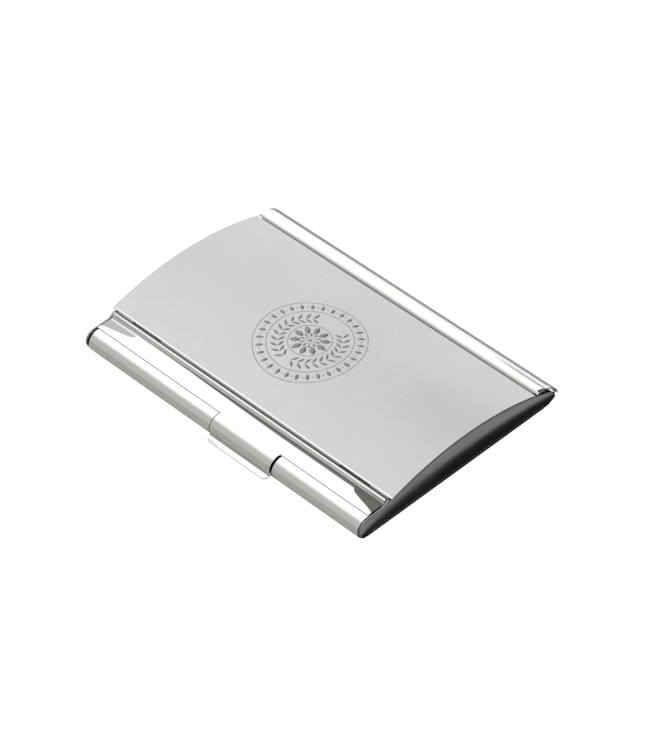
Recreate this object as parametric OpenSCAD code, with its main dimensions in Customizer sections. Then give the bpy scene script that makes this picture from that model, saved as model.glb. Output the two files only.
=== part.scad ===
// Hinged sheet-steel case for business cards.
// A channel-shaped tray with a rolled front edge is closed at both ends by pressed cheeks.
// The lid turns on a pin along the back edge and carries an arched cover plate on four clinched tabs.
// X runs along the case, Y from the thumb tab to the hinge, Z up; the underside is at z = 0.

/* [Overall] */
// Length of the arched cover plate, the longest piece
cover_len = 94; // [88:0.5:120]
// Depth from the tip of the thumb lip to the back of the hinge
overall_depth = 68.8; // [60:0.1:90]
// Height from the underside to the crown of the cover plate
crown_z = 11.4; // [9.8:0.1:16]

/* [Sheet] */
// Thickness of the tray sheet
tray_t = 0.5; // [0.3:0.05:0.7]
// Thickness of the lid sheet
lid_t = 0.4; // [0.3:0.05:0.5]
// Thickness of the cover plate
cover_t = 0.5; // [0.3:0.05:0.8]
// Thickness of the end cheeks
cheek_t = 0.5; // [0.3:0.05:0.8]

/* [Tray] */
// Outside radius of the rolled front edge
curl_r = 3; // [2.6:0.1:3.6]
// Least distance of the front seam behind the middle of the roll
seam_back = 0.5; // [0.2:0.1:1.2]
// How far the cover plate stands past the cheeks at each end
cover_overhang = 0.7; // [0.3:0.1:1.5]
// How far the floor's ends stay inside the outer faces of the cheeks
floor_inset = 0.3; // [0.1:0.05:0.45]
// Gap between the left end of the roll and the left cheek
curl_gap_left = 0.85; // [0.1:0.05:1.5]
// Gap between the right end of the roll and the right cheek
curl_gap_right = 0.1; // [0.05:0.05:1]

/* [Hinge] */
// Radius of the hinge pin
pin_r = 0.65; // [0.5:0.05:0.8]
// Radial clearance between the pin and the knuckles
pin_clear = 0.05; // [0.02:0.01:0.1]
// Wall of the rolled knuckles
knuckle_t = 0.5; // [0.35:0.05:0.7]
// Height of the hinge axis above the underside
hinge_z = 2.1; // [1.9:0.1:2.6]
// Radius of the cheeks' noses, which close the ends of the hinge bore
nose_r = 0.75; // [0.7:0.05:0.9]
// Length of each of the two lid knuckles
lid_knuckle_len = 17.6; // [8:0.1:22]
// Length of the middle tray knuckle
mid_knuckle_len = 19.2; // [8:0.1:24]
// Gap between neighbouring knuckles
knuckle_gap = 0.4; // [0.2:0.05:1]

/* [Lid] */
// Width of the thumb tab
tab_w = 20; // [12:0.5:30]
// How far the tab's middle is from the middle of the case
tab_off = 7.1; // [-12:0.1:12]
// How far the lip stands out from the rolled edge
lip_reach = 1.5; // [0.8:0.1:3]
// Gap along the front seam between lid and roll
seam_gap = 0.2; // [0.15:0.05:0.5]
// Gap at the left side of the tab
tab_gap_left = 0.2; // [0.15:0.05:1]
// Gap at the right side of the tab
tab_gap_right = 0.8; // [0.15:0.05:1.5]
// Clearance between the lid and the parts of the tray it passes
lid_clear = 0.3; // [0.2:0.05:0.6]

/* [Cover plate] */
// Distance from the roll's foremost point to the cover plate
cover_setback = 10.05; // [9.2:0.05:10.6]
// Distance from the cover plate's back edge to the back of the hinge
back_depth = 8.4; // [7.4:0.1:10]
// Rise of the arch over the cover plate's depth
arch_rise = 3.8; // [3.2:0.1:4.4]
// Width of each clinched tab
clinch_w = 9.5; // [5:0.5:14]
// Distance of each clinched tab's middle from the middle of the case
clinch_x = 35; // [24:0.5:38]
// Length of the fold of each clinched tab under the lid
clinch_fold = 3; // [1.5:0.5:5]

/* [Hidden] */
$fn = 64;
fit_gap = 0.05;           // gap between pieces that are clinched together
slot_gap = 0.15;          // play of a clinched tab in its slot
slot_show = 0.3;          // how much further a slot reaches out past the cover plate's edge
clinch_inset = 0.25;      // from the cover plate's edge to the face of a clinched tab's leg
back_overhang = 0.55;     // how far the back strip stands past the cheeks
rise_len = 2.8;           // depth over which the floor rises to the rear knuckles
floor_clear = 0.45;       // gap between the floor and the lid's knuckles
notch_z = 1;              // height above which the roll is cut away for the tab
seat_in = 0.05;           // how far a sheet runs into the knuckle it is rolled from
cheek_inset = 0.2;        // how far a cheek stays inside the roll's outside face and the cover's ends
cheek_flange = 4;         // length of a cheek's foot on the floor
cheek_bend_r = 0.9;       // outside radius of a cheek's lower bend
cheek_rear_drop = 1.3;    // how far a cheek lies below the cover plate's back edge
cheek_rear_gap = 1.1;     // gap between a cheek's rear shoulder and the inside of the back strip
cheek_rear_share = 0.76;  // place of that shoulder along the curve of the back strip, from 0 to 1
foot_clear = 0.4;         // gap between a cheek's foot and the rise of the floor
rim_rise = 0.2;           // how far a cheek's rim stands above the front strip
strip_a = 1;              // slope of the front strip where the cove starts
groove_r = 0.5;           // radius of the grooves along the cover plate's edges
bead_r = 0.5;             // radius of the bead in front of the cover plate
cove_r = 0.95;            // radius of the cove in front of the bead
bead_a = 78;              // slope where the cove meets the bead
shoulder_r = 1;           // radius of the shoulder behind the cover plate
back_start_a = 2;         // slope at which the back strip starts
back_end_past = 0.75;     // how far behind the hinge axis the back strip ends
back_end_rise = 0.97;     // height of the back strip's end above the knuckles
hem_r = 0.5;              // radius of the hem along the back strip's edge
hem_a = -165;             // heading at which the hem ends
link_in = 0.3;            // how far a lid knuckle's root starts inside the back strip
link_down = 0.1;          // how far that root lies below the strip's outer face
link_a = 25;              // place on the knuckle where its root ends
pin_inset = 0.1;          // how far the pin's ends lie inside the tray's knuckles
tab_low_a = 196;          // angle on the roll at which the tab turns out into the lip
lip_a = 15;               // slope of the lip
lip_bend_r = 0.5;         // radius of the crease above the lip
lip_corner_r = 1.4;       // radius of the lip's corners, seen from above
steel = [0.80, 0.80, 0.79];
satin = [0.70, 0.70, 0.69];
dark_steel = [0.55, 0.55, 0.56];

// places along the case
cheek_out = cover_len / 2 - cover_overhang;    // outer face of a cheek
cheek_in = cheek_out - cheek_t;                // inner face of a cheek
lid_half = cheek_in - lid_clear;               // half length of the lid between the cheeks
back_half = cheek_out + back_overhang;         // half length of the strip over the cheeks
tab_left = tab_off - tab_w / 2;
tab_right = tab_off + tab_w / 2;
floor_half = cheek_out - floor_inset;

// places across the case
lip_y = -overall_depth / 2;
knuckle_r = pin_r + pin_clear + knuckle_t;
hinge_y = overall_depth / 2 - knuckle_r;
curl_y = lip_y + lip_reach + curl_r;           // middle of the roll
cover_front = curl_y - curl_r + cover_setback;
cover_depth = overall_depth - lip_reach - cover_setback - back_depth;
cover_back = cover_front + cover_depth;

// the arch of the cover plate, and of all that follows it
arch_r = (pow(cover_depth / 2, 2) + pow(arch_rise, 2)) / (2 * arch_rise);
arch_mid = [(cover_front + cover_back) / 2, crown_z - arch_r];
arch_half_a = asin(cover_depth / 2 / arch_r);
lid_arch_r = arch_r - cover_t - fit_gap;
clinch_r = lid_arch_r - lid_t - fit_gap;
cheek_arch_r = arch_r - cover_t - lid_clear;

// points of an arc about c
function arc(c, r, a0, a1, n) =
    [for (i = [0:n]) let (a = a0 + (a1 - a0) * i / n) c + r * [cos(a), sin(a)]];

// points of a bend of radius r that starts at p and turns from heading h0 to h1
function bend(p, r, h0, h1, n) =
    let (s = h1 > h0 ? 1 : -1, c = p + s * r * [-sin(h0), cos(h0)])
    [for (i = [0:n]) let (h = h0 + (h1 - h0) * i / n) c - s * r * [-sin(h), cos(h)]];

function last(list) = list[len(list) - 1];
function reversed(list) = [for (i = [len(list) - 1:-1:0]) list[i]];
function part_of(list, i0, i1) = [for (i = [i0:i1]) list[i]];
function dir(a) = [cos(a), sin(a)];
function on_arch(r, y) = [y, arch_mid[1] + sqrt(r * r - pow(y - arch_mid[0], 2))];

// direction of a path at point i, and the path moved sideways by t
function unit(v) = v / norm(v);
function heading(p, i) =
    i == 0 ? unit(p[1] - p[0])
    : i == len(p) - 1 ? unit(p[i] - p[i - 1])
    : unit(unit(p[i + 1] - p[i]) + unit(p[i] - p[i - 1]));
function moved(p, t) =
    [for (i = [0:len(p) - 1]) let (d = heading(p, i)) p[i] + t * [-d[1], d[0]]];

// drops points that repeat the one before
function clean(p) = [for (i = [0:len(p) - 1]) if (i == 0 || norm(p[i] - p[max(i - 1, 0)]) > 0.01) p[i]];

// bends of the lid's outer face in front of the bed that carries the cover plate
cover_edge_z = crown_z - arch_rise;
edge_a = asin(cover_depth / 2 / lid_arch_r);
groove = bend(on_arch(lid_arch_r, cover_front), groove_r, 180 + edge_a, 140, 6);
bead = bend(last(groove), bead_r, 140, 180 + bead_a, 12);
cove = bend(last(bead), cove_r, 180 + bead_a, 180 + strip_a, 10);
bead_z = max([for (p = bead) p[1]]);
strip_start = last(cove);

// the roll runs into the front strip's plane where that plane touches it
curl_mid = [curl_y, curl_r];
to_strip = strip_start - curl_mid;
touch_a = atan2(to_strip[1], to_strip[0]) + acos(curl_r / norm(to_strip));
touch = curl_mid + curl_r * dir(touch_a);
function on_strip(y) = touch + (strip_start - touch) * (y - touch[0]) / (strip_start[0] - touch[0]);

// the seam stays on the strip, behind the end of the roll's curve, however large the roll is
seam_y = max(curl_y, touch[0]) + seam_back;
seam_front = on_strip(seam_y);
seam_point = on_strip(seam_y + seam_gap);

// bends of the lid's outer face behind that bed
groove_back = bend(on_arch(lid_arch_r, cover_back), groove_r, -edge_a, 60, 6);
shoulder = bend(last(groove_back), shoulder_r, 60, back_start_a, 8);

// the back strip is the one arc that leaves the shoulder smoothly and ends over the hinge
back_end = [hinge_y + back_end_past, hinge_z + knuckle_r + back_end_rise];
back_chord = back_end - last(shoulder);
chord_a = atan2(back_chord[1], back_chord[0]);
back_end_a = 2 * chord_a - back_start_a;
back_strip_r = norm(back_chord) / (2 * sin(back_start_a - chord_a));
back_mid = last(shoulder) - back_strip_r * dir(back_start_a + 90);
back_strip = bend(last(shoulder), back_strip_r, back_start_a, back_end_a, 16);
hem = bend(last(back_strip), hem_r, back_end_a, hem_a, 8);
cheek_rear_a = 90 + back_start_a + (back_end_a - back_start_a) * cheek_rear_share;

// turns a (y, z) outline to stand across the case, from x0 to x1
module across(x0, x1)
    translate([x0, 0, 0]) rotate([90, 0, 90]) linear_extrude(x1 - x0) children();

// a bent sheet: its outer face follows the path, its thickness t lies to the path's left
module sheet(path, t, x0, x1)
    across(x0, x1) polygon(concat(path, reversed(moved(path, t))));

// a rolled knuckle, without its bore
module knuckle(x0, x1)
    across(x0, x1) translate([hinge_y, hinge_z]) circle(knuckle_r);

// the bore for the pin, cut along the whole case
module pin_bore(r)
    translate([-cover_len, hinge_y, hinge_z]) rotate([0, 90, 0]) cylinder(r = r, h = 2 * cover_len);

// where the lid's two knuckles sit, left and right of the middle one
lid_knuckle_x = mid_knuckle_len / 2 + knuckle_gap;
module each_lid_knuckle()
    for (side = [-1, 1])
        translate([side * (lid_knuckle_x + lid_knuckle_len / 2), 0, 0]) children();

// tray: floor, rolled front edge and rear knuckles, bent from one sheet
knuckle_half = cheek_in - curl_gap_right;
pin_half = knuckle_half - pin_inset;
rear_rise = hinge_z - knuckle_r + seat_in;
floor_end = hinge_y - knuckle_r - floor_clear;

module roll()
    sheet(clean(concat([seam_front], arc(curl_mid, curl_r, touch_a, 270, 24))), tray_t,
          -cheek_in + curl_gap_left, cheek_in - curl_gap_right);

module tray_floor() {
    rise = [for (i = [0:8]) [hinge_y - rise_len * (1 - i / 8), rear_rise * (1 - cos(180 * i / 8)) / 2]];
    sheet([[curl_y, 0], rise[0]], tray_t, -floor_half, floor_half);
    sheet(rise, tray_t, -knuckle_half, knuckle_half);
}

module tray() color(steel) difference() {
    union() {
        roll();
        tray_floor();
        knuckle(-knuckle_half, knuckle_half);
    }
    pin_bore(pin_r + pin_clear);
    each_lid_knuckle()
        translate([-lid_knuckle_len / 2 - knuckle_gap, floor_end, -1])
            cube([lid_knuckle_len + 2 * knuckle_gap, overall_depth, crown_z]);
    translate([tab_left - tab_gap_left, lip_y, notch_z])
        cube([tab_w + tab_gap_left + tab_gap_right, curl_y - lip_y + curl_r, crown_z]);
}

// cheek: the D-shaped end plate with its foot on the floor; drawn for the right end
cheek_front_r = curl_r - cheek_inset;
cheek_back = cover_back - cheek_inset;
foot_depth = hinge_y - rise_len - curl_y - foot_clear;

module cheek_outline()
    polygon(concat(
        arc(curl_mid, cheek_front_r, touch_a, 180 + asin((curl_r - tray_t) / cheek_front_r), 20),
        [[hinge_y - hinge_z + tray_t, tray_t]],
        arc([hinge_y, hinge_z], nose_r, 270, 400, 12),
        [back_mid + (back_strip_r - lid_t - cheek_rear_gap) * dir(cheek_rear_a),
         [cover_back + shoulder_r, cover_edge_z - cheek_rear_drop]],
        [for (i = [0:24]) on_arch(cheek_arch_r, cheek_back - (cover_depth - 2 * cheek_inset) * i / 24)],
        [[cover_front - 2 * cheek_inset, bead_z], strip_start + [0, rim_rise]]));

module cheek() {
    intersection() {
        across(cheek_in, cheek_out) cheek_outline();
        union() {
            translate([0, -overall_depth, tray_t + cheek_bend_r])
                cube([cover_len, 2 * overall_depth, crown_z]);
            foot_bend();
        }
    }
    intersection() {
        foot_bend();
        translate([0, curl_y, 0]) cube([cover_len, foot_depth, crown_z]);
    }
    translate([cheek_out - cheek_flange, curl_y, tray_t])
        cube([cheek_flange - cheek_bend_r, foot_depth, cheek_t]);
}

// the quarter bend between a cheek and its foot, along the whole floor
module foot_bend()
    translate([cheek_out - cheek_bend_r, -overall_depth, tray_t + cheek_bend_r])
        rotate([-90, 0, 0]) intersection() {
            difference() {
                cylinder(r = cheek_bend_r, h = 2 * overall_depth);
                translate([0, 0, -1]) cylinder(r = cheek_bend_r - cheek_t, h = 2 * overall_depth + 2);
            }
            cube([cheek_bend_r, cheek_bend_r, 2 * overall_depth]);
        }

module left_end_cheek() color(steel) mirror([1, 0, 0]) cheek();
module right_end_cheek() color(steel) cheek();

// lid: front strip, cove and bead, arched bed under the cover plate, back strip and hem
front_lid = concat([seam_point], reversed(concat(groove, bead, cove)));
bed = [for (i = [1:31]) on_arch(lid_arch_r, cover_front + cover_depth * i / 32)];
short_part = clean(concat(front_lid, bed, groove_back));
lid_outer = clean(concat(short_part, shoulder, back_strip, hem));
lid_inner = moved(lid_outer, -lid_t);

// the stretch of the lid's sheet between two of its points, half long to each side
module lid_stretch(i0, i1, half)
    across(-half, half)
        polygon(concat(part_of(lid_outer, i0, i1), reversed(part_of(lid_inner, i0, i1))));

// the tab follows the roll's outside face down and turns out into the lip
function tab_path() =
    let (roll_face = arc(curl_mid, curl_r, tab_low_a, touch_a, 20),
         drop = bend([0, 0], lip_bend_r, lip_a, tab_low_a - 90, 6),
         crease = [for (p = drop) p - last(drop) + roll_face[0]],
         reach = crease[0][0] - lip_y)
    concat([crease[0] - reach * [1, tan(lip_a)]], crease, roll_face, [seam_point]);

// plan of the tab, with round corners on the lip
module tab_plan() {
    translate([tab_left, lip_y + lip_corner_r]) square([tab_w, curl_y + curl_r - lip_y]);
    translate([tab_left + lip_corner_r, lip_y]) square([tab_w - 2 * lip_corner_r, curl_r]);
    for (x = [tab_left + lip_corner_r, tab_right - lip_corner_r])
        translate([x, lip_y + lip_corner_r]) circle(lip_corner_r);
}

module thumb_tab() intersection() {
    sheet(clean(tab_path()), -lid_t, tab_left, tab_right);
    linear_extrude(crown_z) tab_plan();
}

// a knuckle of the lid, rolled from the end of the back strip
module lid_knuckle(x0, x1) {
    root = last(back_strip) - link_in * dir(back_end_a) - link_down * dir(back_end_a + 90);
    knuckle(x0, x1);
    sheet([root, [hinge_y, hinge_z] + (knuckle_r - seat_in) * dir(link_a)], -lid_t, x0, x1);
}

// the slots that the cover plate's tabs pass through; y is the middle of a leg
clinch_front = cover_front + clinch_inset + cover_t / 2;
clinch_back = cover_back - clinch_inset - cover_t / 2;
slot_w = clinch_w + 2 * slot_gap;
module clinch_slots(y, ahead, behind)
    for (side = [-1, 1])
        translate([side * clinch_x - slot_w / 2, y - cover_t / 2 - ahead, cover_edge_z - 4 * lid_t])
            cube([slot_w, cover_t + ahead + behind, crown_z]);

module lid_plate() color(steel) difference() {
    union() {
        lid_stretch(0, len(short_part) - 1, lid_half);
        lid_stretch(len(short_part) - 1, len(lid_outer) - 1, back_half);
        thumb_tab();
        for (side = [-1, 1]) {
            middle = side * (lid_knuckle_x + lid_knuckle_len / 2);
            lid_knuckle(middle - lid_knuckle_len / 2, middle + lid_knuckle_len / 2);
        }
    }
    pin_bore(pin_r + pin_clear);
    clinch_slots(clinch_front, slot_gap + slot_show, slot_gap);
    clinch_slots(clinch_back, slot_gap, slot_gap + slot_show);
}

// a tab of the cover plate: its leg through the slot and its fold under the lid
module clinched_tab(x, y, toward)
    across(x - clinch_w / 2, x + clinch_w / 2) {
        low = on_arch(clinch_r - cover_t, y)[1];
        translate([y - cover_t / 2, low]) square([cover_t, cover_edge_z - cover_t / 2 - low]);
        intersection() {
            difference() {
                translate(arch_mid) circle(clinch_r, $fn = 720);
                translate(arch_mid) circle(clinch_r - cover_t, $fn = 720);
            }
            translate([toward > 0 ? y : y - clinch_fold, 0]) square([clinch_fold, crown_z]);
        }
    }

module cover_plate() color(satin) {
    sheet(arc(arch_mid, arch_r, 90 + arch_half_a, 90 - arch_half_a, 32), -cover_t,
          -cover_len / 2, cover_len / 2);
    for (side = [-1, 1]) {
        clinched_tab(side * clinch_x, clinch_front, 1);
        clinched_tab(side * clinch_x, clinch_back, -1);
    }
}

module hinge_pin() color(dark_steel)
    translate([-pin_half, hinge_y, hinge_z]) rotate([0, 90, 0]) cylinder(r = pin_r, h = 2 * pin_half);

tray();
left_end_cheek();
right_end_cheek();
lid_plate();
cover_plate();
hinge_pin();
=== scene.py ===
"""A hinged sheet-steel case for business cards, bent, pressed and polished piece by piece.

Sizes are in millimetres in the frame's own axes: X along the case, Y from the thumb lip to the hinge,
Z up. Every finished mesh is scaled to metres once.
"""

import logging
import math
from dataclasses import dataclass, field
from enum import Enum

import bmesh
import bpy
from mathutils import Matrix, Vector


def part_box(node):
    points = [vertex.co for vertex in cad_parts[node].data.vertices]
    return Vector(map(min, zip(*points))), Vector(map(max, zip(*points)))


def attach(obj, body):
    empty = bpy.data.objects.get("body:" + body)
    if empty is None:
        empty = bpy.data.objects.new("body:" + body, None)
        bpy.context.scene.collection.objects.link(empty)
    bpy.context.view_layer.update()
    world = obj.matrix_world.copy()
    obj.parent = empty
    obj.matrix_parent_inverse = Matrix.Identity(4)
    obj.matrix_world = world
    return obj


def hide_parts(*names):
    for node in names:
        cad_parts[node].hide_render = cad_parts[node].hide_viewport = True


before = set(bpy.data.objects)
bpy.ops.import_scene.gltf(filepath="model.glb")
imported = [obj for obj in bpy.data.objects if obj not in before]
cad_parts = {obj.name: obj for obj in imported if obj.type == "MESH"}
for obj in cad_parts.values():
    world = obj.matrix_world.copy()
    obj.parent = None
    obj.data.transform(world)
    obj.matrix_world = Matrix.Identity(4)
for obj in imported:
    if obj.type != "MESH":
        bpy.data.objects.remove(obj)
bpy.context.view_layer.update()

log = logging.getLogger("card_case")
MM = 0.001
FAR = 500.0
Mesh = bmesh.types.BMesh
Piece = bpy.types.Object
Socket = bpy.types.NodeSocket
Tree = bpy.types.NodeTree
Triple = tuple[float, float, float]
Pair = tuple[float, float]


class Side(Enum):
    """The side of a path, seen along its heading, on which a sheet's outer face lies."""

    LEFT = 1
    RIGHT = -1


class End(Enum):
    """The two ends of the case."""

    LEFT = -1
    RIGHT = 1


def box_mm(node: str) -> tuple[Vector, Vector]:
    """Returns a CAD node's lowest and highest corner in millimetres."""
    low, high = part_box(node)
    return low / MM, high / MM


def heading_vector(angle: float) -> Vector:
    """Returns the unit vector of a heading in the YZ plane, 0 along +Y and 90 along +Z."""
    turn = math.radians(angle)
    return Vector((0.0, math.cos(turn), math.sin(turn)))


# ---- sizes


@dataclass(frozen=True)
class CaseSizes:
    """Driving sizes of the case, read from the frame or matched to it."""

    curl_r: float = 3.0
    tray_sheet: float = 0.5
    lid_sheet: float = 0.4
    cover_sheet: float = 0.5
    cheek_sheet: float = 0.5
    strip_slope: float = 1.1
    arch_rise: float = 3.8
    fit_gap: float = 0.05
    seam_back: float = 0.5
    seam_gap: float = 0.2
    groove_r: float = 0.5
    bead_r: float = 0.5
    bead_slope: float = 78.0
    cove_r: float = 0.95
    shoulder_r: float = 1.0
    hem_r: float = 0.5
    knuckle_wall: float = 0.5
    tab_low: float = 196.0
    lip_slope: float = 15.0
    lip_bend_r: float = 0.5
    lip_corner_r: float = 1.4
    tab_x: Pair = (-2.9, 17.1)
    tab_gaps: Pair = (0.2, 0.8)
    notch_z: float = 1.0
    clinch_x: float = 35.0
    clinch_w: float = 9.5
    clinch_inset: float = 0.25
    shoulder_slope: float = 60.0
    back_start: float = 2.0
    back_end_past: float = 0.75
    back_end_rise: float = 0.97
    hem_heading: float = -165.0
    crest: float = 40.0
    lid_knuckle_x: Pair = (10.0, 27.6)
    knuckle_gap: float = 0.4
    knuckle_turn: float = 318.0
    rise_len: float = 2.8

    @property
    def cover(self) -> tuple[Vector, Vector]:
        """Corners of the cover plate."""
        return box_mm("cover_plate")

    @property
    def curl_mid(self) -> Vector:
        """Middle of the rolled front edge."""
        return Vector((0.0, box_mm("tray")[0].y + self.curl_r, self.curl_r))

    @property
    def hinge(self) -> Vector:
        """Middle of the hinge pin."""
        low, high = box_mm("hinge_pin")
        return Vector((0.0, (low.y + high.y) / 2, (low.z + high.z) / 2))

    @property
    def knuckle_r(self) -> float:
        """Outside radius of the knuckles."""
        return box_mm("tray")[1].y - self.hinge.y

    @property
    def arch_r(self) -> float:
        """Radius of the cover plate's outer face."""
        low, high = self.cover
        half = (high.y - low.y) / 2
        return (half * half + self.arch_rise**2) / (2 * self.arch_rise)

    @property
    def arch_mid(self) -> Vector:
        """Middle of the arch's circle."""
        low, high = self.cover
        return Vector((0.0, (low.y + high.y) / 2, high.z - self.arch_r))

    @property
    def seam_y(self) -> float:
        """Depth at which the lid's front strip starts."""
        return self.curl_mid.y + self.seam_back + self.seam_gap

    @property
    def bed_r(self) -> float:
        """Radius of the bed under the cover plate."""
        return self.arch_r - self.cover_sheet - self.fit_gap

    @property
    def bed_half_a(self) -> float:
        """Half the angle of the bed's arc, in degrees."""
        return math.degrees(math.asin((self.cover[1].y - self.arch_mid.y) / self.bed_r))

    @property
    def strip_start(self) -> Vector:
        """Where the lid's front strip meets its cove, worked back from the cover plate's edge."""
        half_a = self.bed_half_a
        back = SheetBender(self.on_arch(self.bed_r, self.cover[0].y), 180.0 + half_a, Side.RIGHT)
        back.bend(self.groove_r, -(self.crest + half_a), 10)
        back.bend(self.bead_r, self.bead_slope + self.crest, 16)
        back.bend(self.cove_r, -(self.bead_slope - self.strip_slope), 14)
        point = back.tip.co.copy()
        back.mesh.free()
        return point

    def on_arch(self, radius: float, y: float) -> Vector:
        """Finds a point on a circle about the arch's middle.

        Args:
            radius: the circle's radius.
            y: depth of the point.

        Returns:
            The point, with x at 0.
        """
        mid = self.arch_mid
        return Vector((0.0, y, mid.z + math.sqrt(radius**2 - (y - mid.y) ** 2)))


# ---- bending sheet


class SheetBender:
    """Bends a strip of sheet, seen end on, out of one starting vertex, then widens it along X."""

    def __init__(self, start: Vector, heading: float, outer: Side) -> None:
        """Places the first vertex.

        Args:
            start: the first point of the outer face, in the YZ plane.
            heading: direction of the path in degrees, 0 along +Y and 90 along +Z.
            outer: side of the path on which the outer face lies.
        """
        self.mesh = bmesh.new()
        self.tip = self.mesh.verts.new((0.0, start.y, start.z))
        self.heading = heading
        self.first_heading = heading
        self.outer = outer

    def straight(self, length: float) -> "SheetBender":
        """Adds a flat length and returns the bender."""
        made = bmesh.ops.extrude_vert_indiv(self.mesh, verts=[self.tip])
        self.tip = made["verts"][0]
        bmesh.ops.translate(self.mesh, verts=[self.tip], vec=heading_vector(self.heading) * length)
        return self

    def bend(self, radius: float, turn: float, steps: int) -> "SheetBender":
        """Adds a bend.

        Args:
            radius: radius of the path.
            turn: degrees turned, positive to the left of the heading.
            steps: how many facets the bend has.

        Returns:
            The bender.
        """
        side = 1.0 if turn > 0 else -1.0
        centre = self.tip.co + heading_vector(self.heading + 90.0 * side) * radius
        made = bmesh.ops.spin(
            self.mesh, geom=[self.tip], cent=centre, axis=(1.0, 0.0, 0.0),
            angle=math.radians(turn), steps=steps, use_duplicate=False,
        )
        self.tip = [v for v in made["geom_last"] if isinstance(v, bmesh.types.BMVert)][0]
        self.heading += turn
        return self

    def reach(self, point: Vector) -> "SheetBender":
        """Adds a flat length that ends level with a point, and returns the bender."""
        along = heading_vector(self.heading)
        return self.straight((point - self.tip.co).dot(along))

    def go_to(self, point: Vector) -> "SheetBender":
        """Turns to a point whatever the heading, adds a flat length up to it, and returns the bender."""
        step = point - self.tip.co
        self.heading = math.degrees(math.atan2(step.z, step.y))
        return self.straight(step.length)

    def widen(self, stations: list[float]) -> Mesh:
        """Draws the bent line out along X.

        Args:
            stations: places along X, from the lowest up.

        Returns:
            The surface, its normals on the outer side.
        """
        bmesh.ops.translate(self.mesh, verts=self.mesh.verts[:], vec=(stations[0], 0.0, 0.0))
        edges = self.mesh.edges[:]
        for near, far in zip(stations, stations[1:]):
            made = bmesh.ops.extrude_edge_only(self.mesh, edges=edges)["geom"]
            verts = [g for g in made if isinstance(g, bmesh.types.BMVert)]
            new = set(verts)
            edges = [g for g in made if isinstance(g, bmesh.types.BMEdge) and set(g.verts) <= new]
            bmesh.ops.translate(self.mesh, verts=verts, vec=(far - near, 0.0, 0.0))
        bmesh.ops.recalc_face_normals(self.mesh, faces=self.mesh.faces[:])
        self.mesh.verts.ensure_lookup_table()
        start = self.mesh.verts[0]
        outward = heading_vector(self.first_heading + 90.0 * self.outer.value)
        if start.link_faces[0].normal.dot(outward) < 0:
            bmesh.ops.reverse_faces(self.mesh, faces=self.mesh.faces[:])
        return self.mesh


@dataclass(frozen=True)
class Window:
    """A box-shaped region that is cut out of a sheet."""

    x: Pair = (-FAR, FAR)
    y: Pair = (-FAR, FAR)
    z: Pair = (-FAR, FAR)

    def mirrored(self) -> "Window":
        """The same window on the other side of the middle."""
        return Window((-self.x[1], -self.x[0]), self.y, self.z)

    def cut(self, mesh: Mesh) -> None:
        """Cuts the sheet along the window's sides and takes out the faces inside."""
        for axis, limits in enumerate((self.x, self.y, self.z)):
            for limit in limits:
                if abs(limit) < FAR:
                    normal = Vector((0.0, 0.0, 0.0))
                    normal[axis] = 1.0
                    geom = mesh.verts[:] + mesh.edges[:] + mesh.faces[:]
                    bmesh.ops.bisect_plane(
                        mesh, geom=geom, dist=1e-4, plane_co=normal * limit, plane_no=normal
                    )
        inside = [f for f in mesh.faces if self.holds(f.calc_center_median())]
        bmesh.ops.delete(mesh, geom=inside, context="FACES")

    def cut_both(self, mesh: Mesh) -> None:
        """Cuts the window and its mirror image."""
        self.cut(mesh)
        self.mirrored().cut(mesh)

    def holds(self, point: Vector) -> bool:
        """Whether a point lies in the window."""
        return all(low < c < high for c, (low, high) in zip(point, (self.x, self.y, self.z)))


def round_corners(mesh: Mesh, corners: list[Vector], radius: float) -> None:
    """Rounds corners of a sheet, seen flat.

    Args:
        mesh: the sheet.
        corners: rough places of the corners.
        radius: radius of the corners.
    """
    verts = [min(mesh.verts, key=lambda v: (v.co - c).length) for c in corners]
    bmesh.ops.bevel(
        mesh, geom=verts, offset=radius, offset_type="OFFSET", segments=8, profile=0.5,
        affect="VERTICES", material=-1,
    )


# ---- finishing a piece


@dataclass(frozen=True)
class Finishing:
    """What is done to a piece's mesh after it is modelled."""

    wall: float = 0.0
    edge: float = 0.08
    segments: int = 2
    smooth: float = 50.0
    rim: int = 0
    inside: int = 0


def make_piece(name: str, mesh: Mesh, how: Finishing) -> Piece:
    """Turns a mesh in millimetres into a finished object in metres.

    Args:
        name: the piece's name.
        mesh: its mesh, with the normals outward; it is freed.
        how: its wall, edge rounding and shading.

    Returns:
        The object, at the origin.
    """
    bmesh.ops.remove_doubles(mesh, verts=mesh.verts[:], dist=1e-4)
    bmesh.ops.scale(mesh, vec=(MM, MM, MM), verts=mesh.verts[:])
    data = bpy.data.meshes.new(name)
    mesh.to_mesh(data)
    mesh.free()
    data.shade_smooth()
    data.set_sharp_from_angle(angle=math.radians(how.smooth))
    obj = bpy.data.objects.new(name, data)
    bpy.context.scene.collection.objects.link(obj)
    if how.wall:
        wall = obj.modifiers.new("wall", "SOLIDIFY")
        wall.thickness = how.wall * MM
        wall.offset = -1.0
        wall.use_even_offset = True
        wall.use_quality_normals = True
        wall.material_offset_rim = how.rim
        wall.material_offset = how.inside
    if how.edge:
        edge = obj.modifiers.new("edge", "BEVEL")
        edge.width = how.edge * MM
        edge.segments = how.segments
        edge.limit_method = "ANGLE"
        edge.angle_limit = math.radians(how.smooth)
        edge.miter_outer = "MITER_ARC"
        edge.use_clamp_overlap = True
        if how.rim:
            edge.material = how.rim
    weighted = obj.modifiers.new("weighted", "WEIGHTED_NORMAL")
    weighted.keep_sharp = False
    return obj


def settle(obj: Piece, body: str, slot: str, nodes: tuple[str, ...] = ()) -> None:
    """Puts a piece on its body.

    Args:
        obj: the piece.
        body: the body it moves with.
        slot: the name of a material slot, only written to the log.
        nodes: CAD nodes it stands for.
    """
    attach(obj, body)
    if nodes:
        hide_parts(*nodes)
    log.info("%s rides %s, slot %s", obj.name, body, slot)


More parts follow.
